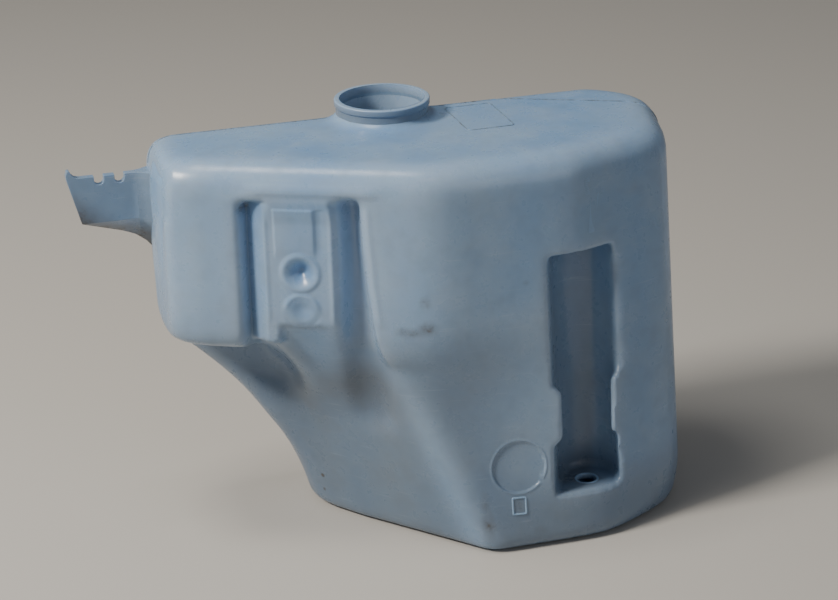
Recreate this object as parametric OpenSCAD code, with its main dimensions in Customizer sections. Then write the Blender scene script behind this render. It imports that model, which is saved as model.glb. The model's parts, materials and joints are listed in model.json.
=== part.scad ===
// Washer fluid reservoir: one hollow blow-moulded shell with a filler neck, a recess for the pump,
// a screw pad standing in a channel, and a flat tab with two hose notches.
// Millimetres, +Z up, front face towards -Y, origin under the middle of the overall box.

/* [Body] */
// Height of the flat top above the base
body_h = 210; // [200:1:225]
// Thickness of the blown wall
wall = 2.6; // [2:0.1:3.2]
// Radius of the edge round the top
top_round = 14; // [10:0.5:18]
// Radius of the edge round the base
base_round = 7; // [5:0.5:10]
// Width of the front face, from the left face to the ridge with the middle face
front_w = 144; // [138:1:150]
// How far the right corner stands out past the front face
right_reach = 120; // [114:1:126]
// Depth from the front face to the back face at its deepest
body_d = 153; // [147:1:159]
// Slant of the back face and of the mould's parting line, in degrees
part_turn = 25; // [23:0.5:27]
// Height of the underside of the front blocks
block_floor = 103; // [98:1:108]
// Radius of the lower edge of the front blocks
block_round = 16; // [12:1:20]
// How far the left face spreads towards the back
left_flare = 22; // [16:0.5:24]

/* [Foot] */
// Height at which the swept left underside meets the left face
sweep_h = 90; // [84:1:94]
// Distance from the left face to the left end of the foot
sweep_l = 56; // [52:1:62]
// Hollowness of the swept underside, 1 for a straight slope
sweep_power = 1.5; // [1.2:0.1:1.8]
// Setback of the left end of the foot from the front face
foot_setback = 56; // [52:1:62]
// Depth of the pocket over the foot, under the left block
left_pocket_d = 13; // [8:1:15]
// Depth of the pocket over the foot, under the right slot
right_pocket_d = 6; // [3:0.5:8]
// Height at which the pockets begin
pocket_floor = 60; // [56:1:66]
// How far the right end of the base is tucked in
tuck_d = 9; // [6:0.5:12]

/* [Channel and screw pad] */
// Height of the top of the channel
channel_top = 193.5; // [188:0.5:194]
// Distance from the left face to the channel
channel_x = 45; // [40:1:48]
// Width of the channel at its top
channel_w = 63; // [58:1:66]
// How far the right side of the channel moves out towards its foot
channel_flare = 9; // [4:1:12]
// Depth of the slot left of the pad
left_slot_d = 16; // [12:1:20]
// Depth of the slot right of the pad
right_slot_d = 13; // [9:1:16]
// Width of the pad's front
pad_w = 33; // [30:1:35]
// Width of the slot between the channel's left side and the pad's front
left_slot_w = 17; // [15:1:19]
// Setback of the pad's front from the front face
pad_setback = 2; // [0:0.5:4]
// Height of the upper edge of the pad's front
pad_top = 187; // [182:1:188]
// Height of the lower edge of the pad's front
pad_bottom = 127; // [124:1:132]
// Height at which the slope under the pad runs into the foot
pad_foot = 62; // [56:1:70]
// Height of the upper screw dimple
dimple_z = 154.5; // [152:0.5:160]
// Distance down from the upper dimple to the lower one
dimple_pitch = 20; // [18:0.5:22]
// Diameter of the dimples
dimple_d = 14; // [11:0.5:15]
// Depth of the upper dimple
dimple_depth = 5; // [3:0.5:7]
// Depth of the lower dimple
low_dimple_depth = 1.8; // [1:0.2:3]
// Distance of the dimples to the left of the middle of the pad's front
dimple_side = 2.5; // [0:0.5:4]

/* [Pump recess] */
// Width of the recess that holds the pump, rounded at the back
pump_w = 31; // [28:0.5:33]
// Height of the floor of the recess
pump_floor = 28; // [24:1:30]
// Height of the recess
pump_h = 130; // [120:1:136]
// How far the recess leans to the left over its height
pump_lean = 4.2; // [2:0.2:6]
// Setback of the pump's axis from the front face
pump_setback = 44; // [41:1:48]
// Diameter of the hole for the pump's grommet
pump_hole_d = 10; // [9:0.5:14]
// Height of the middle of the two detents
detent_z = 71; // [65:0.5:80]
// Length of the detents along the recess
detent_h = 34; // [28:1:40]
// How far the left detent stands into the recess
left_detent_d = 4.5; // [3:0.5:6]
// How far the right detent stands into the recess
right_detent_d = 3; // [2:0.5:5]

/* [Filler neck] */
// Bore of the neck
neck_bore = 44; // [40:0.5:45]
// Height of the mouth above the top
neck_h = 10; // [8:0.5:14]
// Thickness of the neck
neck_wall = 2; // [1.6:0.2:3]
// How far the lip stands out round the mouth
lip_d = 1; // [0.6:0.2:2]
// Height of the lip
lip_h = 3; // [2:0.5:4]

/* [Hose tab] */
// Distance from the left face to the tip of the tab, along the parting plane
tab_l = 53; // [48:1:58]
// Thickness of the tab
tab_t = 4; // [3:0.5:6]
// Height of the tab's upper edge
tab_z = 193; // [185:0.5:194]
// Height of the tab at its tip
tab_tip_h = 26; // [22:1:30]
// Height of the tab at the body
tab_root_h = 38; // [34:1:42]
// Slant of the tip, from its upper to its lower corner
tab_slant = 8.5; // [6:0.5:11]
// Diameter of the hose notches
notch_d = 5; // [4:0.5:6]
// Depth of the hose notches
notch_depth = 4.6; // [4:0.2:6]
// Distance from the tip to the first notch
notch_x = 17; // [14:0.5:19]
// Distance between the notches
notch_pitch = 10.5; // [9:0.5:13]

/* [Round field] */
// Diameter of the shallow round field beside the pump recess
disc_d = 28; // [24:1:30]
// Depth of the round field
disc_depth = 0.8; // [0.4:0.1:1.2]
// Height of the middle of the round field
disc_z = 46; // [42:1:50]

/* [Hidden] */
tank_blue = "#8fb0d0";
$fn = 64;
front_y = -body_d/2;
back_y = body_d/2;
left_x = -107;
front_r = left_x + front_w;
bend_steps = 3;
cavity_bend_steps = 2;

// Corners of the plan, at the base and at the top
ridge_base = [front_r + 29, front_y + 5];
ridge_top = [front_r - 20, front_y + 5];
pump_corner_base = [front_r + 82, front_y + 31];
pump_corner_top = [front_r + 61, front_y + 30.5];
right_base = [front_r + right_reach, front_y + 73];
right_top = [front_r + right_reach - 10.5, front_y + 79];
right_back_base = [front_r + right_reach - 13, back_y - 13];
right_back_top = [front_r + right_reach - 24, back_y - 13];
back_right = [front_r + right_reach - 49, back_y];
back_bend = [front_r + 29, back_y];

// Channel stations across the front face
cheek_x = left_x + channel_x + channel_w;
slot_draft = 5;
slot_l = left_x + channel_x + slot_draft;
pad_l = left_x + channel_x + left_slot_w;
pad_r = pad_l + pad_w;
pad_mid = (pad_l + pad_r)/2;
ledge_d = 10;
flank_start = 0.15;
right_slot_rise = 2.5;

// Soft changes of the plan with height: where each starts and ends, and how far it goes
body_foot = block_floor - 21;
column_fade = 26;
left_pocket_h = 24;
right_pocket_h = 10;
apron_narrow = 8;
apron_power = 1.5;
foot_spread = 15;
block_corner = 7;
block_corner_h = 24;
flare_start = sweep_h - 60;
flare_end = sweep_h + 20;
flare_fade = 20;
flare_loss = 0.25;
tuck_h = 28;
sump_along = 0.32;

// Axes of the pump and the neck, and a point that the parting line passes over
pump_axis = [front_r + 70.5, front_y + pump_setback];
neck_axis = [front_r - 39.5, front_y + 87];
part_point = [front_r - 64.6, front_y + 82.5];

// Shoulder behind the parting line: a cylinder that just passes the back face
back_gap = (back_y - part_point.y)*cos(part_turn) - (back_bend.x - part_point.x)*sin(part_turn);
shoulder_r = 36;
shoulder_y = back_gap + 1.2 - shoulder_r;
shoulder_z = body_h - sqrt(shoulder_r*shoulder_r - shoulder_y*shoulder_y);

neck_r = neck_bore/2 + neck_wall;
neck_root = 18;
detent_inset = 14;
tab_sink = 12;
tab_edge_t = 0.6;
tab_y = part_point.y + (left_x - part_point.x)*tan(part_turn);
disc_along = 0.445;
hook_w = 2.5;
hook_h = 4;

function mix(a, b, t) = a + (b - a)*t;
function held(t) = min(1, max(0, t));
function ease(lo, hi, z) = let (t = held((z - lo)/(hi - lo))) t*t*(3 - 2*t);
function swell(lo, hi, z) = let (t = held((z - lo)/(hi - lo))) sqrt(t*(2 - t));
function spread(a, b, n) = [for (i = [0:n - 1]) mix(a, b, i/n)];
function unit(v) = v/norm(v);

// Ridge and pump corner at a height, and the middle face between them
function ridge_at(z) = mix(ridge_base, ridge_top, min(1, z/block_floor));
function pump_corner_at(z) = mix(pump_corner_base, pump_corner_top, z/body_h);
function face_line(z) = pump_corner_at(z) - ridge_at(z);
function face_point(z) = ridge_at(z) + disc_along*face_line(z);

// Left face: drafted above the sweep, swept in below it
left_draft = 6;
function left_at(z) =
    z > sweep_h ? left_x + left_draft*(body_h - z)/(body_h - sweep_h)
    : left_x + mix(sweep_l, left_draft, pow(max(z, 0)/sweep_h, sweep_power));

// Horizontal section of the skin as plan corners, each with the length of its bend
function section(z, w) = let (
    t = z/body_h,
    left = left_at(z),
    flare = ease(flare_start, flare_end, z) - flare_loss*ease(channel_top - flare_fade, body_h, z),
    back_left = left - left_flare*flare,
    ridge = ridge_at(z),
    foot = [left, front_y + foot_setback],
    pump_corner = pump_corner_at(z),
    middle = mix(ridge, pump_corner, 0.3),
    block = swell(block_floor + w, block_floor + block_round, z),
    slot = 1 - ease(channel_top - 8 + w, channel_top + w, z),
    right_slot = 1 - ease(channel_top - 8 + right_slot_rise + w, channel_top + right_slot_rise + w, z),
    body = ease(body_foot, block_floor + block_round, z),
    column = ease(pocket_floor - column_fade, pocket_floor, z),
    left_pocket = left_pocket_d*ease(pocket_floor, pocket_floor + left_pocket_h, z),
    right_pocket = right_pocket_d*ease(pocket_floor, pocket_floor + right_pocket_h, z),
    sunk = [left_pocket, left_pocket, left_pocket, 0, 0, right_pocket/3, right_pocket, 0],
    corner_in = block_corner*(1 - swell(block_floor, block_floor + block_corner_h, z)),
    narrow = apron_narrow*(1 - ease(body_foot, block_floor + block_round, z)),
    tuck = tuck_d*pow(1 - held(z/tuck_h), 2),
    right_edge = mix(right_base, right_top, t),
    pad = pow(held((z - pad_foot - w)/(pad_bottom - pad_foot)), apron_power),
    ledge = ease(pad_top - w, pad_top + 6 - w, z),
    brow = ease(block_floor - 22, block_floor + 24, z),
    drop = held((channel_top - z)/(channel_top - block_floor)),
    cheek = cheek_x + channel_flare*drop*drop,
    pad_y = front_y + mix(pad_setback, ledge_d, ledge),
    stations = [
        [left_x + channel_x, front_y, block],
        [slot_l, mix(front_y, front_y + left_slot_d, slot), body],
        [mix(slot_l, pad_l, flank_start) + narrow, mix(front_y, front_y + left_slot_d, slot), body],
        [pad_l + narrow, mix(front_y, pad_y, slot), pad],
        [pad_r, mix(front_y, pad_y, slot), pad],
        [pad_r + 4, mix(front_y, front_y + right_slot_d, right_slot), body],
        [cheek - 4, mix(front_y, front_y + right_slot_d, right_slot), body],
        [mix(cheek + 3, cheek - 2, block), mix(front_y, front_y + right_slot_d/2, right_slot), block]
    ],
    front_bends = [3, 3, 3, 4, mix(12, 4, body), mix(10, 5, body), 5, 4],
    across = [for (i = [0:len(stations) - 1]) let (
        s = stations[i],
        f = (s.x - left_x)/(cheek_x + channel_flare + foot_spread - left_x),
        x = mix(mix(left, ridge.x, f), s.x, column),
        low_y = mix(foot.y, ridge.y, held((x - left)/(ridge.x - left))) + sunk[i]
        ) [x, mix(low_y, s.y, s.z)]]
    ) concat(
        [[left + corner_in, mix(foot.y + left_pocket/5, front_y, block), 22]],
        [for (i = [0:len(across) - 1]) bent(across[i], front_bends[i])],
        [bent(mix(ridge, [cheek, front_y], block), mix(20, 8, body))],
        [bent(mix(middle, [front_r, front_y], brow), 14)],
        [bent(pump_corner, 20)],
        [bent(mix(pump_corner, right_edge, sump_along), 8)],
        [bent(right_edge + tuck*unit([-1, 1]), 17)],
        [bent(mix(right_back_base, right_back_top, t), 12)],
        [bent(back_right, 14)],
        [bent(back_bend, 20)],
        [[back_left, back_bend.y - (back_bend.x - back_left)*tan(part_turn), 24]]);
function bent(p, b) = [p.x, p.y, b];

// The section moved in by a distance, along the bisector at each corner
function moved_in(s, d) = [for (i = [0:len(s) - 1]) let (
    n = len(s),
    p = [s[i].x, s[i].y],
    a = unit(p - [s[(i + n - 1)%n].x, s[(i + n - 1)%n].y]),
    b = unit([s[(i + 1)%n].x, s[(i + 1)%n].y] - p),
    na = [-a.y, a.x],
    nb = [-b.y, b.x],
    q = p + d*(na + nb)/max(0.5, 1 + na*nb)
    ) [q.x, q.y, s[i].z]];

// A closed ring of points with every corner drawn as a curve
function ring(s, z, steps) = [for (i = [0:len(s) - 1]) let (
    n = len(s),
    p = [s[i].x, s[i].y],
    before = [s[(i + n - 1)%n].x, s[(i + n - 1)%n].y] - p,
    after = [s[(i + 1)%n].x, s[(i + 1)%n].y] - p,
    a = p + unit(before)*min(s[i].z, 0.45*norm(before)),
    b = p + unit(after)*min(s[i].z, 0.45*norm(after))
    ) for (k = [0:steps]) let (
    t = k/steps,
    q = (1 - t)*(1 - t)*a + 2*t*(1 - t)*p + t*t*b
    ) [q.x, q.y, z]];

// Heights of the rings between the two rounded edges, closer where the skin turns and sparser inside
function heights(w) = let (
    n = w > 0 ? [3, 5, 2, 2, 4, 1] : [6, 8, 2, 3, 7, 2],
    channel_end = min(channel_top + w, body_h - top_round - 0.5)
    ) concat(
    spread(base_round, pocket_floor, n[0]),
    spread(pocket_floor, block_floor + w, n[1]),
    [for (i = [0:5]) block_floor + w + (block_round - w)*(1 - cos(15*i))],
    spread(block_floor + block_round, pad_bottom + w, n[2]),
    spread(pad_bottom + w, pad_top - w, n[3]),
    spread(pad_top - w, channel_end, n[4]),
    spread(channel_end, body_h - top_round, n[5]));

// All the rings of the skin moved in by w, from the base to the top
function rings(w, steps) = let (
    edge_steps = w > 0 ? 3 : 5,
    tr = top_round - w,
    br = base_round - w
    ) concat(
        [for (i = [0:edge_steps - 1]) let (a = 90*i/edge_steps)
            ring(moved_in(section(base_round, w), w + br*(1 - sin(a))), w + br*(1 - cos(a)), steps)],
        [for (z = heights(w)) ring(moved_in(section(z, w), w), z, steps)],
        [for (i = [0:edge_steps]) let (a = 90*i/edge_steps)
            ring(moved_in(section(body_h - top_round, w), w + tr*(1 - cos(a))),
                body_h - top_round + tr*sin(a), steps)]);

// Closed skin through the rings
module skin(w, steps) {
    r = rings(w, steps);
    m = len(r[0]);
    n = len(r);
    sides = [for (j = [0:n - 2]) for (i = [0:m - 1]) let (
        a = j*m + i,
        b = j*m + (i + 1)%m
        ) each [[a, b + m, b], [a, a + m, b + m]]];
    caps = [[for (i = [0:m - 1]) i], [for (i = [m - 1:-1:0]) (n - 1)*m + i]];
    polyhedron([for (points = r) for (p = points) p], concat(sides, caps), convexity = 10);
}

// Middle of the overall width, from the tip of the tab to the right corner
mid_x = (max([for (points = rings(0, bend_steps)) for (p = points) p.x])
    + left_x - tab_l*cos(part_turn) - tab_t/2*sin(part_turn))/2;

// Places children with X along the parting line and Y towards the back
module at_parting() {
    translate([part_point.x, part_point.y, 0]) rotate([0, 0, part_turn]) children();
}

// What the round shoulder behind the parting line takes off the top; its cylinder has the radius r
module shoulder_cut(r) {
    at_parting() translate([0, shoulder_y, shoulder_z]) rotate([0, 90, 0])
        difference() {
            translate([-shoulder_r*2, 0, -body_d*2]) cube([shoulder_r*2, shoulder_r*2, body_d*4]);
            translate([0, 0, -body_d*2 - 1]) cylinder(r = r, h = body_d*4 + 2);
        }
}

// Upright recess with a round back, open to the front, grown by g for the wall behind it
module pump_recess(g) {
    translate([pump_axis.x, pump_axis.y, pump_floor - g]) linear_extrude(pump_h + 2*g) {
        circle(d = pump_w + 2*g);
        translate([-pump_w/2 - g, -body_d]) square([pump_w + 2*g, body_d]);
    }
}

// Leans children to the left with height, about the middle of the detents
module leaning() {
    k = pump_lean/pump_h;
    multmatrix([[1, 0, -k, k*detent_z], [0, 1, 0, 0], [0, 0, 1, 0]]) children();
}

// Ramped lug that stands d into the recess from the wall at x = 0, running l along Y
module detent(d, l) {
    rotate([90, 0, 0]) linear_extrude(l)
        polygon([[-1, -detent_h/2 - 1], [d, -detent_h/2 + d], [d, detent_h/2 - d], [-1, detent_h/2 + 1]]);
}

module pump_detents() {
    translate([pump_axis.x, pump_axis.y, detent_z]) {
        translate([-pump_w/2, -detent_inset, 0]) detent(left_detent_d, body_d);
        mirror([1, 0, 0]) translate([-pump_w/2, detent_inset/2, 0]) detent(right_detent_d, body_d);
    }
}

// Round screw dimple in the pad's front, grown by g for the wall behind it
module dimple(z, depth, g) {
    rim_r = dimple_d/2 + g;
    floor_r = dimple_d/4 + g;
    floor_d = depth + g + 1;
    translate([pad_mid - dimple_side, front_y + pad_setback - 1, z]) rotate([-90, 0, 0]) rotate_extrude()
        polygon([[0, 0], [rim_r, 0], [rim_r, 1], [floor_r, floor_d], [0, floor_d]]);
}

module dimples(g) {
    dimple(dimple_z, dimple_depth, g);
    dimple(dimple_z - dimple_pitch, low_dimple_depth, g);
}

// Neck before it is bored: a cylinder down into the shoulder, with a lip round the mouth
module neck() {
    translate([neck_axis.x, neck_axis.y, body_h - neck_root]) rotate_extrude()
        polygon([[0, 0], [neck_r, 0], [neck_r, neck_root + neck_h - lip_h - lip_d],
            [neck_r + lip_d, neck_root + neck_h - lip_h], [neck_r + lip_d, neck_root + neck_h - lip_d/2],
            [neck_r + lip_d/2, neck_root + neck_h], [0, neck_root + neck_h]]);
}

// Places children in the plane of the tab, with X away from the left face and Y up
module at_tab() {
    translate([left_x, tab_y, 0]) rotate([0, 0, part_turn]) rotate([90, 0, 0]) children();
}

// Flat tab in the parting plane, with a hooked tip and an underside that slopes to the back
module hose_tab() {
    low_tip = [-tab_l + tab_slant, tab_z - tab_tip_h];
    low_root = [tab_sink, tab_z - tab_root_h - tab_sink*(tab_root_h - tab_tip_h)/(tab_l - tab_slant)];
    front_root = [tab_sink, low_tip.y];
    at_tab() {
        translate([0, 0, -tab_t/2]) linear_extrude(tab_t)
            polygon([low_tip, front_root, [tab_sink, tab_z], [-tab_l + hook_w*2, tab_z],
                [-tab_l + hook_w, tab_z + hook_h], [-tab_l, tab_z + hook_h]]);
        hull() {
            translate([0, 0, -tab_t/2]) linear_extrude(tab_edge_t) polygon([low_tip, low_root, front_root]);
            translate([0, 0, tab_t/2 - tab_edge_t]) linear_extrude(tab_edge_t)
                polygon([low_tip, front_root - [0, tab_edge_t], front_root]);
        }
    }
}

// The two notches that the hose clips into
module hose_notches() {
    notch_z = tab_z - notch_depth + notch_d/2;
    at_tab() for (i = [0:1]) translate([-tab_l + notch_x + i*notch_pitch, notch_z, -tab_t]) {
        cylinder(d = notch_d, h = tab_t*2);
        translate([-notch_d/2, 0, 0]) cube([notch_d, notch_depth, tab_t*2]);
    }
}

// Shallow round field on the middle face
module round_field() {
    low = face_point(0);
    high = face_point(block_floor);
    middle = face_point(disc_z);
    turn = atan2(face_line(disc_z).y, face_line(disc_z).x);
    out = [sin(turn), -cos(turn)];
    lean = atan((low - high)*out/block_floor);
    translate([middle.x, middle.y, disc_z]) rotate([0, 0, turn]) rotate([90 - lean, 0, 0])
        translate([0, 0, -disc_depth]) cylinder(d = disc_d, h = disc_depth*4);
}

// Space inside the shell
module cavity() {
    difference() {
        skin(wall, cavity_bend_steps);
        leaning() pump_recess(wall);
        dimples(wall);
        shoulder_cut(shoulder_r - wall);
    }
}

// The blown shell with its neck and tab, before the holes are cut to size
module blown_shell() {
    difference() {
        union() {
            difference() {
                skin(0, bend_steps);
                shoulder_cut(shoulder_r);
                leaning() difference() {
                    pump_recess(0);
                    pump_detents();
                }
            }
            neck();
            hose_tab();
        }
        cavity();
        neck_hole(neck_bore - 2);
    }
}

module neck_hole(d) {
    translate([neck_axis.x, neck_axis.y, body_h - neck_root - 1]) cylinder(d = d, h = neck_root + neck_h + 2);
}

module pump_hole() {
    translate([pump_axis.x, pump_axis.y, pump_floor - wall - 1]) cylinder(d = pump_hole_d, h = wall + 2);
}

module tank() {
    color(tank_blue) translate([-mid_x, 0, 0]) difference() {
        resize([0, body_d, 0]) blown_shell();
        neck_hole(neck_bore);
        pump_hole();
        dimples(0);
        hose_notches();
        round_field();
    }
}

tank();
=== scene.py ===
import json
import math

import bmesh
import bpy
import numpy as np
from mathutils import Matrix, Vector
from mathutils.bvhtree import BVHTree


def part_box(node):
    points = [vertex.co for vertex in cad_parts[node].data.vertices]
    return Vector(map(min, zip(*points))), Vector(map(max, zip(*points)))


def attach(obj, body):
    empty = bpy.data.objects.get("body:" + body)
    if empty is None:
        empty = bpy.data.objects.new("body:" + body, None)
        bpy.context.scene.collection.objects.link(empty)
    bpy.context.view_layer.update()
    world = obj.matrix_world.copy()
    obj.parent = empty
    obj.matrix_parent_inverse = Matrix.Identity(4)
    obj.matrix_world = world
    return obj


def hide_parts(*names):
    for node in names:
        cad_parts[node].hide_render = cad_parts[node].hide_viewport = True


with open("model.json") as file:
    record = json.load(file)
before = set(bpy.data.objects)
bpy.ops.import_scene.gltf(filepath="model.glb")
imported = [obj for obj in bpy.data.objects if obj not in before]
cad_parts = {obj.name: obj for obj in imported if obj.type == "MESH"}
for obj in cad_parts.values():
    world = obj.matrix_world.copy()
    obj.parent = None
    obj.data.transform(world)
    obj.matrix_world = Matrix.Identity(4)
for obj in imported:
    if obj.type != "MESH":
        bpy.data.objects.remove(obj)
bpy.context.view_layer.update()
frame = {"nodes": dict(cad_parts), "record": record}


# The tank's skin: high-density polyethylene, blown from a hot tube inside a two-part mould.
# Hot plastic can't follow a sharp corner, so the solid's outside is remeshed finely and relaxed
# until every edge is a soft bend. The mould's shallow marks are then pressed into it.

MM = 0.001
tank = frame["nodes"]["tank"]
mounts = {mount["name"]: mount for mount in frame["record"]["mounts"]}
neck_at = Vector(mounts["filler_neck"]["pos_m"]) / MM
neck_r = mounts["filler_neck"]["dims"]["r_mm"]
pump_at = Vector(mounts["pump_hole"]["pos_m"]) / MM
pump_r = mounts["pump_hole"]["dims"]["r_mm"]
pad_at = Vector(mounts["screw_pad"]["pos_m"]) / MM
neck_h = 10
mouth_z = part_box("tank")[1].z / MM
top_z = mouth_z - neck_h
pump_floor = 28
skin_grain = 2.2

# A place ahead of the whole front, for boxes that are open to the front
front_y = -80

# The neck's wall and the hose tab are pieces of their own, so the skin ends a little way into them
stub_h = 4
part_turn = math.radians(25)
tab_root = Vector((-105.536, -31.025, 0))
tab_along = Vector((math.cos(part_turn), math.sin(part_turn), 0))
tab_cut = -10.5


def is_bore(face, at, radius):
    """True for a wall face of the upright round hole of that radius at that place."""
    centre = face.calc_center_median() / MM
    off = math.hypot(centre.x - at.x, centre.y - at.y) - radius
    return abs(off) < 0.5 and abs(face.normal.z) < 0.1


def only_faces(mesh, wanted):
    """A copy of a mesh with nothing but the faces of the wanted numbers."""
    part = mesh.copy()
    part.faces.index_update()
    spare = [face for face in part.faces if face.index not in wanted]
    bmesh.ops.delete(part, geom=spare, context="FACES")
    return part


def close_holes(mesh):
    """Fills every open loop of a mesh."""
    open_edges = [edge for edge in mesh.edges if edge.is_boundary]
    bmesh.ops.holes_fill(mesh, edges=open_edges, sides=0)


def cut_off(mesh, point, towards):
    """Takes off what lies beyond a plane, given in millimetres, and closes the cut."""
    everything = mesh.verts[:] + mesh.edges[:] + mesh.faces[:]
    bmesh.ops.bisect_plane(
        mesh, geom=everything, plane_co=Vector(point) * MM, plane_no=towards, clear_outer=True)
    close_holes(mesh)


def new_piece(name, mesh):
    """Makes a smooth-shaded object in the scene out of a bmesh or a mesh."""
    data = mesh
    if isinstance(mesh, bmesh.types.BMesh):
        data = bpy.data.meshes.new(name)
        mesh.to_mesh(data)
        mesh.free()
    data.name = name
    piece = bpy.data.objects.new(name, data)
    bpy.context.scene.collection.objects.link(piece)
    data.polygons.foreach_set("use_smooth", [True] * len(data.polygons))
    return piece


def applied(piece):
    """The piece's mesh with its modifiers applied."""
    bpy.context.view_layer.update()
    shown = piece.evaluated_get(bpy.context.evaluated_depsgraph_get())
    return bpy.data.meshes.new_from_object(shown)


solid = bmesh.new()
solid.from_mesh(tank.data)
bmesh.ops.remove_doubles(solid, verts=solid.verts, dist=0.01 * MM)
solid.faces.index_update()
bores = {f for f in solid.faces if is_bore(f, neck_at, neck_r) or is_bore(f, pump_at, pump_r)}

# The lowest face that looks up is the floor inside. All that joins it, up to the holes' walls, is inside
level = [f for f in solid.faces if f.normal.z > 0.99]
inside = {min(level, key=lambda f: f.calc_center_median().z)}
spreading = list(inside)
while spreading:
    for edge in spreading.pop().edges:
        for face in edge.link_faces:
            if face not in inside and face not in bores:
                inside.add(face)
                spreading.append(face)

bore_numbers = {f.index for f in bores}
inside_numbers = {f.index for f in inside}
outside_numbers = {f.index for f in solid.faces} - bore_numbers - inside_numbers

outside = only_faces(solid, outside_numbers)
close_holes(outside)
cut_off(outside, (0, 0, top_z + stub_h), (0, 0, 1))
cut_off(outside, tab_root + tab_along * tab_cut, -tab_along)
bmesh.ops.triangulate(outside, faces=outside.faces)
true_outside = BVHTree.FromBMesh(outside)
rough = new_piece("rough_skin", outside)
remesh = rough.modifiers.new("fine_grid", "REMESH")
remesh.mode = "VOXEL"
remesh.voxel_size = skin_grain * MM
skin_mesh = applied(rough)
bpy.data.objects.remove(rough)


def points_of(mesh):
    """The mesh's points as rows of x, y, z in millimetres."""
    flat = np.zeros(len(mesh.vertices) * 3)
    mesh.vertices.foreach_get("co", flat)
    return flat.reshape(-1, 3) / MM


def set_points(mesh, points):
    """Moves the mesh's points to rows of x, y, z in millimetres."""
    mesh.vertices.foreach_set("co", (points * MM).ravel())
    mesh.update()


def edges_of(mesh):
    """The mesh's edges as rows of two point numbers."""
    flat = np.zeros(len(mesh.edges) * 2, int)
    mesh.edges.foreach_get("vertices", flat)
    return flat.reshape(-1, 2)


def normals_of(mesh):
    """The mesh's point normals as rows of x, y, z."""
    flat = np.zeros(len(mesh.vertices) * 3)
    mesh.vertices.foreach_get("normal", flat)
    return flat.reshape(-1, 3)


def neighbour_mean(values, edges, share=None):
    """The mean of each point's neighbours, weighted by the edges' shares if there are any."""
    share = np.ones(len(edges)) if share is None else share
    total = sum(np.bincount(edges[:, i], share, len(values)) for i in (0, 1))
    columns = []
    for column in values.T:
        there = np.bincount(edges[:, 0], share * column[edges[:, 1]], len(values))
        back = np.bincount(edges[:, 1], share * column[edges[:, 0]], len(values))
        columns.append(np.where(total > 0.01, (there + back) / np.maximum(total, 0.01), column))
    return np.stack(columns, 1)


def relaxed(values, edges, rounds, where=1.0):
    """Moves every value half way to its neighbours' mean, round after round, by its weight."""
    for _ in range(rounds):
        values = values + 0.5 * where * (neighbour_mean(values, edges) - values)
    return values


def fair(values, edges, rounds, where):
    """Takes out short waves and keeps the size, fully where the weight is 1 and not at all at 0."""
    weight = where[:, None]
    for _ in range(rounds):
        for share in (0.5, -0.53):
            values = values + share * weight * (neighbour_mean(values, edges) - values)
    return values


def ease(low, high, x):
    """A soft step from 0 at low to 1 at high."""
    t = np.clip((x - low) / (high - low), 0, 1)
    return t * t * (3 - 2 * t)


def in_box(points, low, high, soft):
    """1 inside a box and 0 a soft distance outside it."""
    out = np.maximum(np.maximum(np.array(low) - points, points - np.array(high)), 0)
    return 1 - ease(0, soft, np.linalg.norm(out, axis=1))


def add_values(mesh, name, values):
    """Keeps one number per point on the mesh, for its material to read."""
    layer = mesh.attributes.new(name, "FLOAT", "POINT")
    layer.data.foreach_set("value", values.astype(np.float32))


def refine(data, *tests):
    """Splits every face whose corners all pass a test into four, one test after the other."""
    mesh = bmesh.new()
    mesh.from_mesh(data)
    for wanted in tests:
        near = {v for v in mesh.verts if wanted(v.co / MM)}
        edges = [e for e in mesh.edges if e.verts[0] in near and e.verts[1] in near]
        bmesh.ops.subdivide_edges(mesh, edges=edges, cuts=1, use_grid_fill=True)
    mesh.to_mesh(data)
    mesh.free()


# The pump recess and the channel have crisper bends than the rest, and a finer mesh for them
crisp_boxes = [
    ((pump_at.x - 21, front_y, 22), (pump_at.x + 20, pump_at.y + 20, 164)),
    ((pad_at.x - 36, front_y, 116), (pad_at.x + 42, -40, 199)),
]
round_neck = 28
neck_box = ((neck_at.x - round_neck, neck_at.y - round_neck, top_z - 1),
            (neck_at.x + round_neck, neck_at.y + round_neck, mouth_z))
bend_mm = 2.4
bend_rounds = int(2 * (bend_mm / skin_grain) ** 2) + 2
fair_rounds = 30
run_out_rounds = 34
broad_rounds = 20
skin_edges = edges_of(skin_mesh)
skin_points = relaxed(points_of(skin_mesh), skin_edges, bend_rounds)
soft_where = np.ones(len(skin_points))
for low, high in crisp_boxes + [neck_box]:
    soft_where = np.minimum(soft_where, 1 - in_box(skin_points, low, high, 8))
skin_points = fair(skin_points, skin_edges, fair_rounds, soft_where)

# Under the left block the wall beside the middle runs out softly, and so does the block's top corner
pocket = in_box(skin_points, (-60, -62, 66), (-34, -10, 102), 8)
corner = in_box(skin_points, (-125, -72, 182), (-98, -38, 202), 6)
skin_points = relaxed(skin_points, skin_edges, run_out_rounds, np.maximum(pocket, corner)[:, None])
set_points(skin_mesh, skin_points)

# Bends that face in or out, which differ in colour. Those that face in carry painted shade, a deeper
# blue, except along the right slot's right edge. The slot right of the pad is pale down to its floor
full_bend = 0.9
broad = relaxed(skin_points, skin_edges, broad_rounds)
bend = ((broad - skin_points) * normals_of(skin_mesh)).sum(1)
bend = relaxed(bend[:, None], skin_edges, 3)[:, 0]
slot_edge = in_box(skin_points, (3, front_y, 95), (22, -40, 199), 3)
slot_floor = in_box(skin_points, (-7, -72, 112), (5, -56, 194), 4)
add_values(skin_mesh, "hollow", np.clip(bend / full_bend, 0, 1) * (1 - slot_edge))
add_values(skin_mesh, "edge", np.clip(np.clip(-bend / full_bend, 0, 1) + slot_floor, 0, 1))


def in_crisp(p):
    """True for a point in one of the crisp boxes."""
    return any(all(low[i] < p[i] < high[i] for i in range(3)) for low, high in crisp_boxes)


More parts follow.
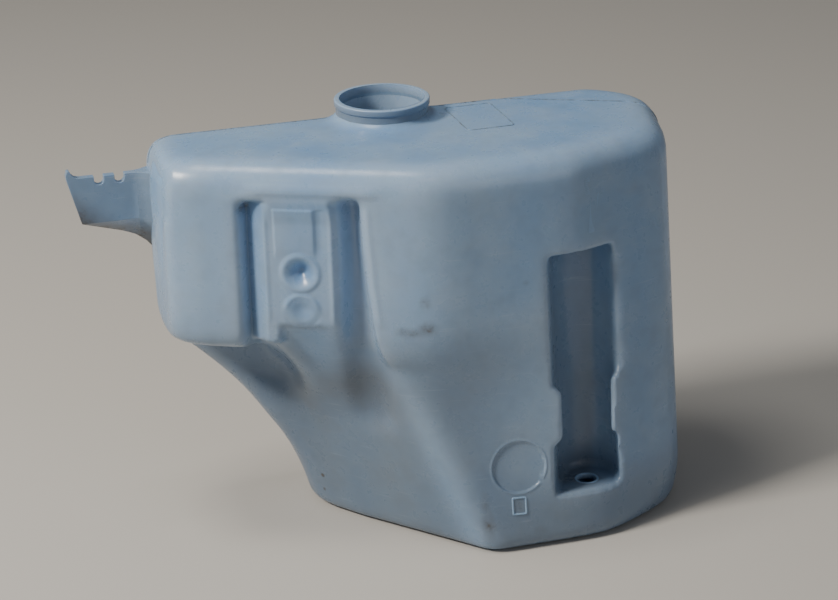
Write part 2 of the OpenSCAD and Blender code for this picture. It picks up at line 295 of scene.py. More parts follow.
refine(skin_mesh, in_crisp)
skin_points = points_of(skin_mesh)
skin_edges = edges_of(skin_mesh)
margin = 5
crisp_where = np.zeros(len(skin_points))
for low, high in crisp_boxes:
    crisp = in_box(skin_points, np.array(low) + margin, np.array(high) - margin, margin)
    crisp_where = np.maximum(crisp_where, crisp)
for i in np.nonzero(crisp_where)[0]:
    there = np.array(true_outside.find_nearest(Vector(skin_points[i]) * MM)[0]) / MM
    skin_points[i] += crisp_where[i] * (there - skin_points[i])
skin_points = relaxed(skin_points, skin_edges, 5, crisp_where[:, None])

# The recess has straight upright edges, so above and below its detents it is smoothed up and down only
detent_z = 71
recess_top = 148
upright_rounds = 150
along_edge = skin_points[skin_edges[:, 0]] - skin_points[skin_edges[:, 1]]
steep = (np.abs(along_edge[:, 2]) / np.linalg.norm(along_edge, axis=1)) ** 8
above = in_box(skin_points, (pump_at.x + 2, front_y, detent_z + 26),
               (pump_at.x + 18, pump_at.y + 10, recess_top), 4)
below = in_box(skin_points, (pump_at.x + 2, front_y, 36),
               (pump_at.x + 18, pump_at.y + 10, detent_z - 24), 3)
upright = np.maximum(above, below)[:, None]
for _ in range(upright_rounds):
    step = neighbour_mean(skin_points, skin_edges, steep) - skin_points
    skin_points = skin_points + 0.5 * upright * step

# The recess' right edge is a broad bend, except at the detent
edge_rounds = 160
above = in_box(skin_points, (pump_at.x + 4, front_y, detent_z + 22),
               (pump_at.x + 26, pump_at.y + 12, recess_top), 4)
below = in_box(skin_points, (pump_at.x + 4, front_y, 42),
               (pump_at.x + 26, pump_at.y + 12, detent_z - 28), 4)
skin_points = relaxed(skin_points, skin_edges, edge_rounds, np.maximum(above, below)[:, None])

# The left slot is a shallow valley: a steep wall on its left and a gentle flank up to the pad
valley_x = -57
valley_y = -67
flank_slope = 0.79
pad_y = pad_at.y
in_slot = in_box(skin_points, (-60, front_y, 116), (pad_at.x - 13, -40, 190), 4)
flank_y = np.maximum(valley_y - flank_slope * (skin_points[:, 0] - valley_x), pad_y)
skin_points[:, 1] -= in_slot * np.maximum(skin_points[:, 1] - flank_y, 0)
skin_points = relaxed(skin_points, skin_edges, 3, in_slot[:, None])

# The pad runs up into the front without a step
pad_half = 18
pad_rise = 2.1
x, y, z = skin_points.T
over_pad = 1 - ease(pad_half - 4, pad_half, np.abs(x - pad_at.x))
over_pad *= (y < -60) * ease(160, 170, z) * (1 - ease(192, 197, z))
flush_y = pad_y - pad_rise * ease(178, 194, z)
skin_points[:, 1] -= over_pad * np.maximum(y - flush_y, 0)
set_points(skin_mesh, skin_points)


# Marks pressed by the mould: a round field beside the recess, two dimples and a raised panel on the pad
disc_at = Vector((76.76, -59.74, 45.97))
disc_axis = Vector((0.344, -0.933, 0.105)).normalized()
disc_r = 14
pad_axis = Vector((0, -1, 0))
dimple_pitch = 20
low_dimple_at = pad_at - Vector((0, 0, dimple_pitch))


def press(points, centre, axis, radius, reach, profile):
    """Rebuilds a round patch as the smooth face around it plus a profile of (across, up, distance)."""
    across = Vector((0, 0, 1)).cross(axis).normalized()
    up = axis.cross(across)
    local = (points - np.array(centre)) @ np.array((across, up, axis)).T
    a, b, h = local.T
    r = np.hypot(a, b)
    near = (r < reach) & (np.abs(h) < 9)
    ring = near & (r > radius)
    terms = np.stack([np.ones_like(a), a, b, a * a, a * b, b * b], 1)
    shape = np.linalg.lstsq(terms[ring], h[ring], rcond=None)[0]
    wanted = terms @ shape + profile(a, b, r)
    move = np.where(near, (1 - ease(radius, reach, r)) * (wanted - h), 0)
    return points + move[:, None] * np.array(axis)


def round_field(a, b, r):
    """A shallow flat with a fine raised edge."""
    flat = -0.75 * (1 - ease(disc_r - 0.7, disc_r + 0.2, r))
    return flat + 0.3 * np.exp(-((r - disc_r - 0.5) / 0.6) ** 2)


def deep_dimple(a, b, r):
    """A bowl with a raised rim all round."""
    bowl = -4.6 * (0.5 + 0.5 * np.cos(np.pi * np.minimum(r / 7.6, 1)))
    return bowl + 0.9 * np.exp(-((r - 8.8) / 1.7) ** 2)


def shallow_dimple(a, b, r):
    """A flatter bowl whose rim is raised on its upper side only."""
    bowl = -1.7 * (0.5 + 0.5 * np.cos(np.pi * np.minimum(r / 7.2, 1)))
    return bowl + 0.6 * np.exp(-((r - 8) / 1.2) ** 2) * ease(-2, 4, b)


def near_disc(p):
    """True for a point on the round field or close to it."""
    return (p - disc_at).length < 21


def in_detail(p):
    """True for a point on the pad, on the round field or near the pump hole."""
    on_pad = abs(p.x - pad_at.x - 2) < 22 and p.y < -62 and pad_at.z - 32 < p.z < pad_at.z + 44
    return on_pad or (p - disc_at).length < 19 or (p - pump_at).length < 11


refine(skin_mesh, near_disc, in_detail)
skin_points = points_of(skin_mesh)
skin_edges = edges_of(skin_mesh)
fine_where = np.array([1.0 if in_detail(Vector(p)) else 0.0 for p in skin_points])
skin_points = relaxed(skin_points, skin_edges, 2, fine_where[:, None])

# Each mark fades into the face around it between two distances from its middle
skin_points = press(skin_points, disc_at, disc_axis, 15.2, 17.5, round_field)
skin_points = press(skin_points, low_dimple_at, pad_axis, 9, 11, shallow_dimple)
skin_points = press(skin_points, pad_at, pad_axis, 10, 12, deep_dimple)

# Thin swellings along the pad's edges and the right slot's right edge, and a brow across above them
brow_z = 198
brow_h = 1.3
brow_w = 2.6
x, y, z = skin_points.T
upright_part = ease(124, 132, z) * (1 - ease(186, 194, z)) * (y < -60)
slot_edge_x = np.interp(z, (112, 120, 130, 150, 170, 185), (13.5, 11, 9.8, 7.5, 6, 5))
for line_x, line_w, line_h in ((-46.5, 1.4, 0.4), (-13.4, 1.4, 0.7), (slot_edge_x, 1.7, 0.6)):
    skin_points[:, 1] -= line_h * np.exp(-((x - line_x) / line_w) ** 2) * upright_part
brow_part = (1 - ease(26, 38, np.abs(x + 22))) * (y < -60)
skin_points[:, 1] -= brow_h * np.exp(-((z - brow_z) / brow_w) ** 2) * brow_part

# The panel: a flat lift of the pad's middle, with a groove along its right side
panel_lift = 0.8
groove_depth = 0.5
on_pad = (y < -70) & (np.abs(x - pad_at.x) < pad_half)
panel_left = ease(pad_at.x - 13.2, pad_at.x - 11.8, x)
panel_right = 1 - ease(pad_at.x + 6.8, pad_at.x + 9, x)
panel_height = ease(pad_at.z + 6, pad_at.z + 14, z) * (1 - ease(pad_at.z + 33, pad_at.z + 34.4, z))
groove = np.exp(-((x - pad_at.x - 10.6) / 2.2) ** 2) * panel_height
panel = panel_left * panel_right * panel_height
skin_points[:, 1] -= on_pad * (panel_lift * panel - groove_depth * groove)
set_points(skin_mesh, skin_points)

# The holes: the skin ends inside the neck's wall and at the rim of the pump hole
holed = bmesh.new()
holed.from_mesh(skin_mesh)
plugs = []
for face in holed.faces:
    centre = face.calc_center_median() / MM
    in_neck = math.hypot(centre.x - neck_at.x, centre.y - neck_at.y) < neck_r + 0.9
    in_pump = math.hypot(centre.x - pump_at.x, centre.y - pump_at.y) < pump_r + 0.3
    if (in_neck and centre.z > top_z - 6) or (in_pump and abs(centre.z - pump_floor) < 8):
        plugs.append(face)
bmesh.ops.delete(holed, geom=plugs, context="FACES")
holed.to_mesh(skin_mesh)
holed.free()

tank_skin = new_piece("tank_skin", skin_mesh)
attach(tank_skin, "root")
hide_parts("tank")


# Soil on the skin, some of it painted shade: a little along the foot and around the pump hole, and
# smears, each with its place, its reach in each direction and its strength. Two smears are painted shade:
# the band under the pad's lower edge and the spot in the top corner of the left slot.
foot_soil = 0.25
hole_soil = 0.8
soil_and_shade_patches = [
    ((60.2, -68.5, 30), (3, 6, 8), 0.6),
    ((62.2, -70.2, 15.6), (3.5, 6, 7), 1.1),
    ((33, -76, 141), (3, 6, 4), 0.9),
    ((34.5, -75.3, 127), (5, 6, 4), 1.0),
    ((24, -76, 125), (6, 6, 3), 1.0),
    # Painted shadow under the pad's lower edge
    ((-29, -73, 125.5), (16, 6, 2.6), 0.8),
    ((81, -57, 146.4), (2.5, 4, 2), 0.5),
    ((69, -62.7, 137), (20, 12, 8), 0.3),
    ((88, -59.9, 10.6), (5, 6, 3), 0.5),
    ((109, 14.5, 210), (8, 5, 3), 0.3),
    ((-60, -76, 108), (14, 8, 4), 0.4),
    # Painted shade in the top corner of the left slot
    ((-58, -68, 189), (4, 9, 6), 1.3),
    ((77, -62.5, 25.2), (3.4, 4, 4), 0.8),
]
skin_points = points_of(skin_mesh)
x, y, z = skin_points.T
soil_and_shade = foot_soil * (1 - ease(2, 12, z))
for spot, reach, strength in soil_and_shade_patches:
    off = (skin_points - np.array(spot)) / np.array(reach)
    soil_and_shade += strength * np.exp(-(off ** 2).sum(1))
from_hole = np.hypot(x - pump_at.x, y - pump_at.y)
soil_and_shade += hole_soil * (1 - ease(pump_r, pump_r + 4, from_hole)) * (np.abs(z - pump_floor) < 4)
add_values(skin_mesh, "soil_and_shade", np.clip(soil_and_shade, 0, 1))

# Road film and painted shade. Darker towards the foot, partly film and partly painted shade under the
# overhangs;
# darker on the faces that turn away to the right and in the recess, partly film and partly painted shade;
# a painted shadow in the hollow under the right block; lighter, as painted light, on the ridge that runs
# down from that block
foot_film_and_shade = 0.78
ridge_painted_light = 0.55
face_film_and_shade = 0.22
block_shadow = 0.35
recess_film_and_shade = 0.35
ridge_x = 20 + 0.4 * (95 - z)
film_and_shade_amount = foot_film_and_shade * (1 - ease(75, 150, z)) * (1 - 0.6 * ease(40, 100, x) * ease(15, 50, z))
# Painted light: the ridge faces the light, so less of the darkening is laid on it
film_and_shade_amount *= 1 - ridge_painted_light * np.exp(-((x - ridge_x) / 9) ** 2) * (1 - ease(95, 112, z))
# Painted shade, with some film, on the faces that turn away to the right
film_and_shade_amount += face_film_and_shade * ease(25, 50, x) * (y < 0) * ease(70, 150, z) * (1 - ease(198, 208, z))
# Painted shadow in the hollow under the right block
shadow_under_block = np.exp(-((x - 2) / 25) ** 2 - ((z - 92) / 16) ** 2) * (1 - ease(-45, -30, y))
film_and_shade_amount += block_shadow * shadow_under_block
# Darker inside the recess: partly film, partly painted shade
face_y = -59.3 + 0.465 * (x - 75)
beside_pump = in_box(skin_points, (pump_at.x - 18, front_y, 24), (pump_at.x - 1, 0, 158), 6)
film_and_shade_amount += recess_film_and_shade * ease(4, 12, y - face_y) * beside_pump
add_values(skin_mesh, "film_and_shade", np.clip(film_and_shade_amount, 0, 1))


# Blow-moulded HDPE: a waxy, slightly cloudy plastic that lets some light in. The eye sees a satin
# sheen, faint flow bands, fine scuffs and dull road film. Painted shade is mixed into the colour as well:
# a deeper blue in hollows, and darker film and grime where shade falls.

def linear(hex_code):
    """An sRGB hex colour as linear red, green, blue and alpha."""
    parts = [int(hex_code[i:i + 2], 16) / 255 for i in (1, 3, 5)]
    return tuple(c / 12.92 if c < 0.04045 else ((c + 0.055) / 1.055) ** 2.4 for c in parts) + (1,)


def add_node(tree, kind, settings, links):
    """Adds a node, sets its properties and plain inputs, and links its other inputs to sockets."""
    node = tree.nodes.new(kind)
    for name, value in settings.items():
        if isinstance(name, int) or name in node.inputs:
            node.inputs[name].default_value = value
        else:
            setattr(node, name, value)
    for name, source in links.items():
        tree.links.new(source, node.inputs[name])
    return node


SKY_BLUE = "#789ec8"
PALE_BLUE = "#8eabca"
SHADE_BLUE = "#3675bd"
# Painted shade: the deeper blue of hollows
CHALKED = "#aebfd1"
# Road film, and also the grey of painted shade
FILM_AND_SHADE_GREY = "#57606b"
# Grime, and also the dark of painted shade
GRIME_AND_SHADE = "#4a433b"

hdpe = bpy.data.materials.new("blow_moulded_hdpe")
hdpe.use_nodes = True
tree = hdpe.node_tree
shader = tree.nodes["Principled BSDF"]
place = add_node(tree, "ShaderNodeTexCoord", {}, {}).outputs["Object"]
marks = {}
for name in ("hollow", "edge", "soil_and_shade", "film_and_shade"):
    marks[name] = add_node(tree, "ShaderNodeAttribute", {"attribute_name": name}, {}).outputs["Fac"]

# Patterns: width of a blot in millimetres, detail, and how much finer it is along each axis
patterns = {}
for name, blot_mm, detail, finer in (
        ("flow", 70, 2, (1, 1, 0.35)), ("cloud", 22, 3, (1, 1, 1)), ("haze", 9, 5, (1, 1, 1)),
        ("smear", 5, 4, (1, 1, 1)), ("grit", 1.4, 3, (1, 1, 1)), ("scratch", 14, 2, (0.5, 0.5, 14))):
    laid = add_node(tree, "ShaderNodeMapping", {"Scale": finer}, {"Vector": place})
    blots = {"Scale": 1 / (blot_mm * MM), "Detail": detail, "Roughness": 0.55}
    noise = add_node(tree, "ShaderNodeTexNoise", blots, {"Vector": laid.outputs["Vector"]})
    patterns[name] = noise.outputs["Fac"]

times = {"operation": "MULTIPLY"}
smudge_and_shade = add_node(tree, "ShaderNodeMath", times, {0: marks["soil_and_shade"], 1: patterns["smear"]})
grains_and_shade = add_node(tree, "ShaderNodeMath", times, {0: smudge_and_shade.outputs[0], 1: patterns["grit"]})
veil = add_node(tree, "ShaderNodeMath", times, {0: marks["film_and_shade"], 1: patterns["cloud"]})

# Layers of colour over the blue: what drives each, where it starts and is full, and how much it covers
layers = [
    (patterns["flow"], 0.35, 0.65, 1.0, PALE_BLUE),
    (patterns["cloud"], 0.45, 0.75, 0.25, CHALKED),
    # Painted shade: a deeper blue in the bends that face in
    (marks["hollow"], 0.0, 1.0, 0.18, SHADE_BLUE),
    (marks["edge"], 0.0, 1.0, 0.3, CHALKED),
    (patterns["haze"], 0.5, 0.8, 0.16, FILM_AND_SHADE_GREY),
    # Road film and painted shade, as an even layer and in cloudy patches
    (marks["film_and_shade"], 0.0, 1.0, 0.8, FILM_AND_SHADE_GREY),
    (veil.outputs[0], 0.4, 0.65, 0.3, FILM_AND_SHADE_GREY),
    (patterns["scratch"], 0.66, 0.74, 0.2, CHALKED),
    # Grime and painted shade, in smears and in fine grains
    (smudge_and_shade.outputs[0], 0.1, 0.75, 0.7, GRIME_AND_SHADE),
    (grains_and_shade.outputs[0], 0.2, 0.4, 0.7, GRIME_AND_SHADE),
]
for speck, radius in (((-32.2, -29.2, 21), 1.5), ((-31.5, -26.4, 12), 1.7)):
    from_speck = {"operation": "DISTANCE", 1: Vector(speck) * MM}
    away = add_node(tree, "ShaderNodeVectorMath", from_speck, {0: place})
    layers.append((away.outputs["Value"], radius * MM, 0.6 * radius * MM, 0.85, GRIME_AND_SHADE))

# Numbers of the sockets of a mix node that mixes colours
factor_in = 0
under_in = 6
over_in = 7
colour_out = 2
colour = None
for source, start, full, cover, hex_code in layers:
    span = {"From Min": start, "From Max": full, "To Max": cover}
    amount = add_node(tree, "ShaderNodeMapRange", span, {"Value": source})
    inks = {"data_type": "RGBA", under_in: linear(SKY_BLUE), over_in: linear(hex_code)}
    under = {under_in: colour} if colour else {}
    mixed = add_node(tree, "ShaderNodeMix", inks, {factor_in: amount.outputs["Result"], **under})
    colour = mixed.outputs[colour_out]
tree.links.new(colour, shader.inputs["Base Color"])

# Satin with duller patches, over the slight waves and the fine grain of a blown surface
satin = {"From Min": 0.3, "From Max": 0.75, "To Min": 0.24, "To Max": 0.38}
gloss = add_node(tree, "ShaderNodeMapRange", satin, {"Value": patterns["haze"]})
tree.links.new(gloss.outputs["Result"], shader.inputs["Roughness"])
waves = {"Strength": 0.3, "Distance": 0.8 * MM}
wave = add_node(tree, "ShaderNodeBump", waves, {"Height": patterns["cloud"]})
grit = {"Strength": 0.1, "Distance": 0.1 * MM}
over_waves = {"Height": patterns["grit"], "Normal": wave.outputs["Normal"]}
grain = add_node(tree, "ShaderNodeBump", grit, over_waves)
tree.links.new(grain.outputs["Normal"], shader.inputs["Normal"])
shader.inputs["IOR"].default_value = 1.54
shader.inputs["Subsurface Weight"].default_value = 0.18
shader.inputs["Subsurface Radius"].default_value = (0.5, 0.8, 1.3)
shader.inputs["Subsurface Scale"].default_value = 3 * MM
skin_mesh.materials.clear()
skin_mesh.materials.append(hdpe)


# The parting line: a thin bead of flash where the two halves of the mould met, darkened partly by road
# dirt caught along it and partly by painted shade. It runs over the top on both sides of the neck and
# down the right side.

def cut_line(mesh, point, normal):
    """The lines in which a plane meets a mesh, as chains of points in millimetres."""
    work = bmesh.new()
    work.from_mesh(mesh)
    everything = work.verts[:] + work.edges[:] + work.faces[:]
    cut = bmesh.ops.bisect_plane(work, geom=everything, plane_co=Vector(point) * MM, plane_no=normal)
    links = {}
    for edge in cut["geom_cut"]:
        if isinstance(edge, bmesh.types.BMEdge):
            a, b = edge.verts
            links.setdefault(a, []).append(b)
            links.setdefault(b, []).append(a)
    chains = []
    open_ends_first = sorted(links, key=lambda v: (len(links[v]), v.co.x, v.co.z))
    used = set()
    for here in open_ends_first:
        chain = []
        while here and here not in used:
            used.add(here)
            chain.append(here.co / MM)
            here = next((v for v in links[here] if v not in used), None)
        if len(chain) > 2:
            chains.append(chain)
    work.free()
    return chains


def split_where(chains, wanted):
    """The runs of points in the chains that are wanted."""
    runs = [[]]
    for chain in chains:
        for point in chain:
            if wanted(point):
                runs[-1].append(point)
            elif runs[-1]:
                runs.append([])
        runs.append([])
    return [run for run in runs if len(run) > 2]


def bead(name, chains, radius, closed=False):
    """A thin round bead along chains of points, half sunk in the skin."""
    curve = bpy.data.curves.new(name, "CURVE")
    curve.dimensions = "3D"
    curve.bevel_depth = radius * MM
    curve.bevel_resolution = 2
    for chain in chains:
        spline = curve.splines.new("POLY")
        spline.points.add(len(chain) - 1)
        spline.use_cyclic_u = closed
        for knot, point in zip(spline.points, chain):
            knot.co = (*(point * MM), 1)
    shape = bpy.data.objects.new(name, curve)
    bpy.context.scene.collection.objects.link(shape)
    mesh = applied(shape)
    bpy.data.objects.remove(shape)
    return new_piece(name, mesh)


seam_r = 0.4
seam_dirt_and_shade = 0.9
left_low = 196
right_low = 5
part_point = Vector((-26.1, 6, 0))
part_out = Vector((-math.sin(part_turn), math.cos(part_turn), 0))
turn_x = 55
end_y = part_point.y + (turn_x - part_point.x) * math.tan(part_turn)


def on_left(p):
    """True for a point of the slanting run, over the top and outside the neck."""
    off_neck = math.hypot(p.x - neck_at.x, p.y - neck_at.y) > neck_r + 3
    return p.x < turn_x and p.z > left_low and off_neck


def on_right(p):
    """True for a point of the straight run, which goes down to the foot."""
    return p.x >= turn_x and p.z > right_low


seam_runs = split_where(cut_line(skin_mesh, part_point, part_out), on_left)
seam_runs += split_where(cut_line(skin_mesh, (turn_x, end_y, 0), (0, 1, 0)), on_right)
parting_seam = bead("parting_seam", seam_runs, seam_r)
# The bead is darkened for dirt and for painted shade
add_values(parting_seam.data, "soil_and_shade", np.full(len(parting_seam.data.vertices), seam_dirt_and_shade))
parting_seam.data.materials.append(hdpe)
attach(parting_seam, "root")


# Two plain frames, engraved in the mould, that stand out of the plastic as thin raised lines. One lies on
# the top beside the neck and has caught road dirt, the other lies under the round field.

def arc(centre, radius, start, end, steps):
    """Points of an arc, with its angles in degrees."""
    angles = [math.radians(start + (end - start) * i / steps) for i in range(steps + 1)]
    return [(centre[0] + radius * math.cos(t), centre[1] + radius * math.sin(t)) for t in angles]


def frame_points(centre, across, up, width, height, corner):
    """The closed line of a rounded rectangle laid on the skin."""
    points = []
    for sx, sy, start in ((1, 1, 0), (-1, 1, 90), (-1, -1, 180), (1, -1, 270)):
        middle = (sx * (width / 2 - corner), sy * (height / 2 - corner))
        points += arc(middle, corner, start, start + 90, 4)
    return [Vector(centre) + Vector(across) * a + Vector(up) * b for a, b in points]


def laid_on(points):
    """The points moved to the nearest places of the skin."""
    corners = [v.co.copy() for v in skin_mesh.vertices]
    skin = BVHTree.FromPolygons(corners, [p.vertices[:] for p in skin_mesh.polygons])
    return [skin.find_nearest(p * MM)[0] / MM for p in points]


def dense(points, step):
    """A closed line with points at most a step apart."""
    line = []
    for a, b in zip(points, points[1:] + points[:1]):
        n = max(1, math.ceil((b - a).length / step))
        line += [a + (b - a) * (i / n) for i in range(n)]
    return line


line_step = 1.5
top_turn = math.radians(26)
top_across = Vector((math.cos(top_turn), math.sin(top_turn), 0))
top_up = Vector((-top_across.y, top_across.x, 0))
top_frame = frame_points((49.2, 12.3, top_z), top_across, top_up, 25, 40, 2)
foot_across = Vector((0.93, 0.36, -0.03)).normalized()
foot_up = Vector((-0.06, 0.12, 1)).normalized()
foot_frame = frame_points((77.2, -62.5, 25.2), foot_across, foot_up, 7, 8.8, 0.6)
frames = [
    ("top_frame", top_frame, 0.35, 0.9),
    ("foot_frame", foot_frame, 0.55, 0.0),
]
for name, line, radius, dirt in frames:
    piece = bead(name, [laid_on(dense(line, line_step))], radius, True)
    add_values(piece.data, "soil_and_shade", np.full(len(piece.data.vertices), dirt))
    piece.data.materials.append(hdpe)
    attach(piece, "root")


# The filler neck: blown with the tank, then trimmed and pressed to a true round mouth with a
# rolled lip, so that a push-on cap seals on it.

def turned(name, profile, at, segments):
    """A piece turned on an upright axis from a profile of (radius, height) in millimetres."""
    mesh = bmesh.new()
    rings = []
    for i in range(segments):
        t = 2 * math.pi * i / segments
        ring = [Vector((at.x + r * math.cos(t), at.y + r * math.sin(t), z)) * MM for r, z in profile]
        rings.append([mesh.verts.new(point) for point in ring])
    for i in range(segments):
        here, there = rings[i], rings[(i + 1) % segments]
        for j in range(len(profile) - 1):
            mesh.faces.new((here[j], there[j], there[j + 1], here[j + 1]))
    bmesh.ops.recalc_face_normals(mesh, faces=mesh.faces)
    return new_piece(name, mesh)


neck_out_r = neck_r + 2.1
lip_r = neck_r + 2.8
neck_in_r = neck_r - 0.05
neck_profile = (
    [(neck_out_r + 1.2, top_z - 0.2), (neck_out_r + 0.6, top_z + 0.5), (neck_out_r + 0.2, top_z + 1.5)]
    + [(neck_out_r, top_z + 3), (neck_out_r, mouth_z - 4.4), (neck_out_r - 0.2, mouth_z - 3.9)]
    + arc((lip_r - 0.4, mouth_z - 3), 0.4, -90, 0, 4)
    + arc((lip_r - 0.7, mouth_z - 0.7), 0.7, 0, 90, 6)
    + arc((neck_in_r + 0.5, mouth_z - 0.5), 0.5, 90, 180, 5)
    + [(neck_in_r, mouth_z - 4), (neck_in_r + 0.2, mouth_z - 4.6), (neck_in_r, mouth_z - 6)]
    + [(neck_in_r, top_z - 8)]
)
neck_facets = 144
filler_neck = turned("filler_neck", neck_profile, neck_at, neck_facets)
x, y, z = points_of(filler_neck.data).T
neck_film = 0.75 * (np.hypot(x - neck_at.x, y - neck_at.y) > neck_r + 1)
neck_film *= 1 - ease(mouth_z - 1, mouth_z - 0.2, z)
add_values(filler_neck.data, "film_and_shade", neck_film)
add_values(filler_neck.data, "edge", np.ones(len(z)))
filler_neck.data.materials.append(hdpe)
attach(filler_neck, "root")


# The rim of the pump hole: a low collar of the tank's own plastic, formed by the mould around the hole
# in the floor of the recess. The pump's grommet is pushed into it.

rim_profile = [
    (pump_r + 1.6, pump_floor - 0.4),
    (pump_r + 1.3, pump_floor + 0.15),
    (pump_r + 0.9, pump_floor + 0.3),
    (pump_r + 0.3, pump_floor + 0.3),
    (pump_r, pump_floor),
    (pump_r, pump_floor - 2.4),
]
rim_facets = 48
pump_rim = turned("pump_hole_rim", rim_profile, pump_at, rim_facets)
pump_rim.data.materials.append(hdpe)
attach(pump_rim, "root")


# The hose tab: a flat web of the two walls pressed together at the mould's parting line, with a
# hooked tip and two open notches that hold the washer hose.

tab_out = Vector((math.sin(part_turn), -math.cos(part_turn), 0))
tab_t = 4
notch_r = 2.5
notch_low = 188.4
notches = (-36, -25.5)
tab_top = 193
crease_z = 168.2
root_swell = 5
under_sunk = 9
edge_t = 0.8
# Painted shade laid over the whole tab
tab_shade = 0.4
bend_rows = (-24, -21, -19, -17, -15, -13, -11, -9, -7)
lower_edge = [(-46.2, 168), (-30, 161.5), (-17.6, 155.4), (-12, 151), (-8, 146), (8, 136)]
hooked_tip = [(-46, tab_top), (-48.4, 193.6), (-49.8, 195), (-50.8, 197.2)]
hooked_tip += [(-52, 197.2), (-52.8, 194.5), (-52.4, 192)]
tab_outline = lower_edge + [(8, tab_top)]
for at in reversed(notches):
    tab_outline.append((at + notch_r, tab_top))
    tab_outline += arc((at, notch_low + notch_r), notch_r, 0, -180, 12)
    tab_outline.append((at - notch_r, tab_top))
tab_outline += hooked_tip


def tab_point(along, height, out):
    """A place given along the tab, upwards and out from its middle plane."""
    return (tab_root + tab_along * along + tab_out * out + Vector((0, 0, height))) * MM


tab_mesh = bmesh.new()
front = [tab_mesh.verts.new(tab_point(a, h, tab_t / 2)) for a, h in tab_outline]
face = tab_mesh.faces.new(front)
swept = bmesh.ops.extrude_face_region(tab_mesh, geom=[face])
back = [v for v in swept["geom"] if isinstance(v, bmesh.types.BMVert)]
bmesh.ops.translate(tab_mesh, verts=back, vec=-tab_out * tab_t * MM)
rows = [(tab_point(0, crease_z, 0), Vector((0, 0, 1)))]
rows += [(tab_point(along, 0, 0), tab_along) for along in bend_rows]
for point, across in rows:
    everything = tab_mesh.verts[:] + tab_mesh.edges[:] + tab_mesh.faces[:]
    bmesh.ops.bisect_plane(tab_mesh, geom=everything, plane_co=point, plane_no=across)

# The root swells into the body, and below the crease the front slopes back to the rear edge
for vert in tab_mesh.verts:
    from_root = vert.co / MM - tab_root
    along = from_root.dot(tab_along)
    out = from_root.dot(tab_out)
    low_z = np.interp(along, *zip(*lower_edge))
    under = min(max((crease_z - vert.co.z / MM) / max(crease_z - low_z, 0.1), 0), 1)
    swell = root_swell * float(ease(-22, -7, along)) ** 2
    sunk = under_sunk * float(ease(-50, -12, along)) * under
    wanted = -tab_t / 2 - swell - sunk
    if out > 0:
        wanted = tab_t / 2 + swell - (tab_t - edge_t + swell) * under - sunk
    vert.co += tab_out * (wanted - out) * MM
bmesh.ops.recalc_face_normals(tab_mesh, faces=tab_mesh.faces)
hose_tab = new_piece("hose_tab", tab_mesh)
tab_points = points_of(hose_tab.data)
tab_at = (tab_points - np.array(tab_root)) @ np.array(tab_along)
tab_low = np.interp(tab_at, *zip(*lower_edge))
# Darker near the lower edge: partly dirt, partly painted shade of the underside
tab_edge_dirt_and_shade = 1 - ease(0, 4, tab_points[:, 2] - tab_low)
add_values(hose_tab.data, "soil_and_shade", tab_edge_dirt_and_shade)
add_values(hose_tab.data, "film_and_shade", np.maximum(tab_shade, tab_edge_dirt_and_shade))
rounding = hose_tab.modifiers.new("rounded_edges", "BEVEL")
rounding.width = 0.45 * MM
rounding.segments = 3
rounding.limit_method = "ANGLE"
rounding.harden_normals = True
rounding.angle_limit = math.radians(40)
hose_tab.data.materials.append(hdpe)
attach(hose_tab, "root")


# The inside of the tank: the same blown wall seen from within, through the filler neck and the pump hole.
# Little of it shows, so its faces stay as the solid has them.

tank_inside = new_piece("tank_inside", only_faces(solid, inside_numbers | bore_numbers))
tank_inside.data.materials.clear()
tank_inside.data.materials.append(hdpe)
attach(tank_inside, "root")
solid.free()


# The floor and the light: a pale seamless floor, a key light from the upper left that leaves crisp
# highlights, a weaker one from the right and an overhead panel.

PAPER_GREY = "#c2c0bb"
floor_half = 6
floor_mesh = bmesh.new()
bmesh.ops.create_grid(floor_mesh, x_segments=1, y_segments=1, size=floor_half)
floor = new_piece("floor", floor_mesh)

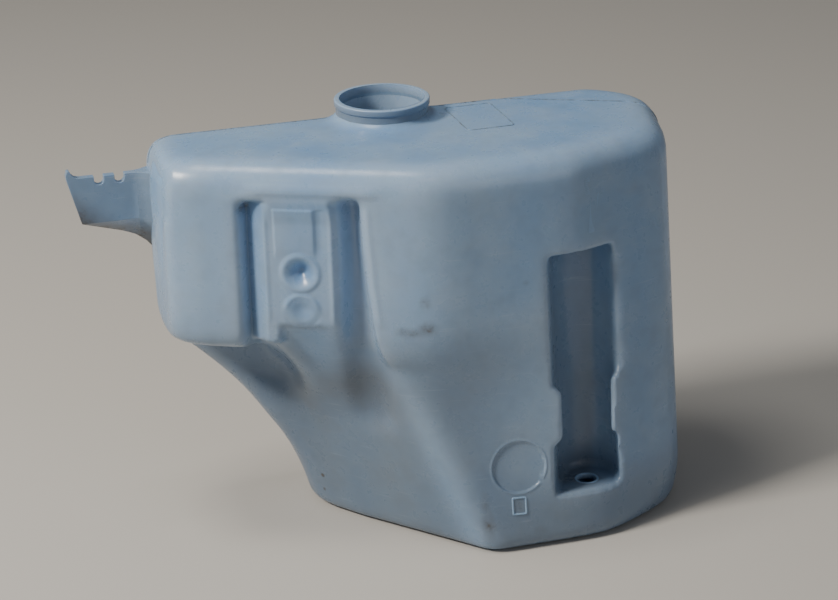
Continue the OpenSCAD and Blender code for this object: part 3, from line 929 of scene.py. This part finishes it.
# Matt paper: a pale grey without sheen, so that the eye sees only the tank's shadow on it
paper = bpy.data.materials.new("matt_paper")
paper.use_nodes = True
sheet = paper.node_tree.nodes["Principled BSDF"]
sheet.inputs["Base Color"].default_value = linear(PAPER_GREY)
sheet.inputs["Roughness"].default_value = 0.85
floor.data.materials.append(paper)


def area_light(name, stand, target, size, watts, tint):
    """Adds a square lamp that stands at one place and points at another, in metres."""
    light = bpy.data.lights.new(name, "AREA")
    light.size = size
    light.energy = watts
    light.color = linear(tint)[:3]
    lamp = bpy.data.objects.new(name, light)
    lamp.location = stand
    lamp.rotation_euler = (Vector(target) - Vector(stand)).to_track_quat("-Z", "Y").to_euler()
    bpy.context.scene.collection.objects.link(lamp)


area_light("key", (-1.14, -0.9, 1.38), (0, 0, 0.12), 0.4, 38.5, "#fff6ea")
area_light("overhead", (-0.3, -0.2, 1.4), (0, 0, 0.1), 0.4, 5.5, "#fffaf2")
area_light("fill", (1.5, -1.1, 0.7), (0, 0, 0.1), 1.0, 3.4, "#f4f6ff")
world = bpy.data.worlds.new("studio")
bpy.context.scene.world = world
world.use_nodes = True
sky = world.node_tree.nodes["Background"]
sky.inputs["Color"].default_value = linear("#e4e6ea")
sky.inputs["Strength"].default_value = 0.16


# The camera, at the place that the photograph was taken from. Its turn and its focal length were worked
# out from the tank's upright edges, its base line and the ellipse of the neck.

photo_w = 838
focal_px = 2435
turn = math.radians(9.4)
pitch = math.radians(22.03)
roll = math.radians(1.53)
ahead = Vector((-math.sin(turn) * math.cos(pitch), math.cos(turn) * math.cos(pitch), -math.sin(pitch)))
level_right = Vector((math.cos(turn), math.sin(turn), 0))
level_up = level_right.cross(ahead)
right = math.cos(roll) * level_right - math.sin(roll) * level_up
up = math.sin(roll) * level_right + math.cos(roll) * level_up
camera = bpy.data.objects.new("camera", bpy.data.cameras.new("camera"))
camera.data.sensor_width = 36
camera.data.lens = focal_px * camera.data.sensor_width / photo_w
camera.matrix_world = Matrix((right, up, -ahead)).transposed().to_4x4()
camera.location = (0.21182, -1.17452, 0.59355)
bpy.context.scene.collection.objects.link(camera)
bpy.context.scene.camera = camera
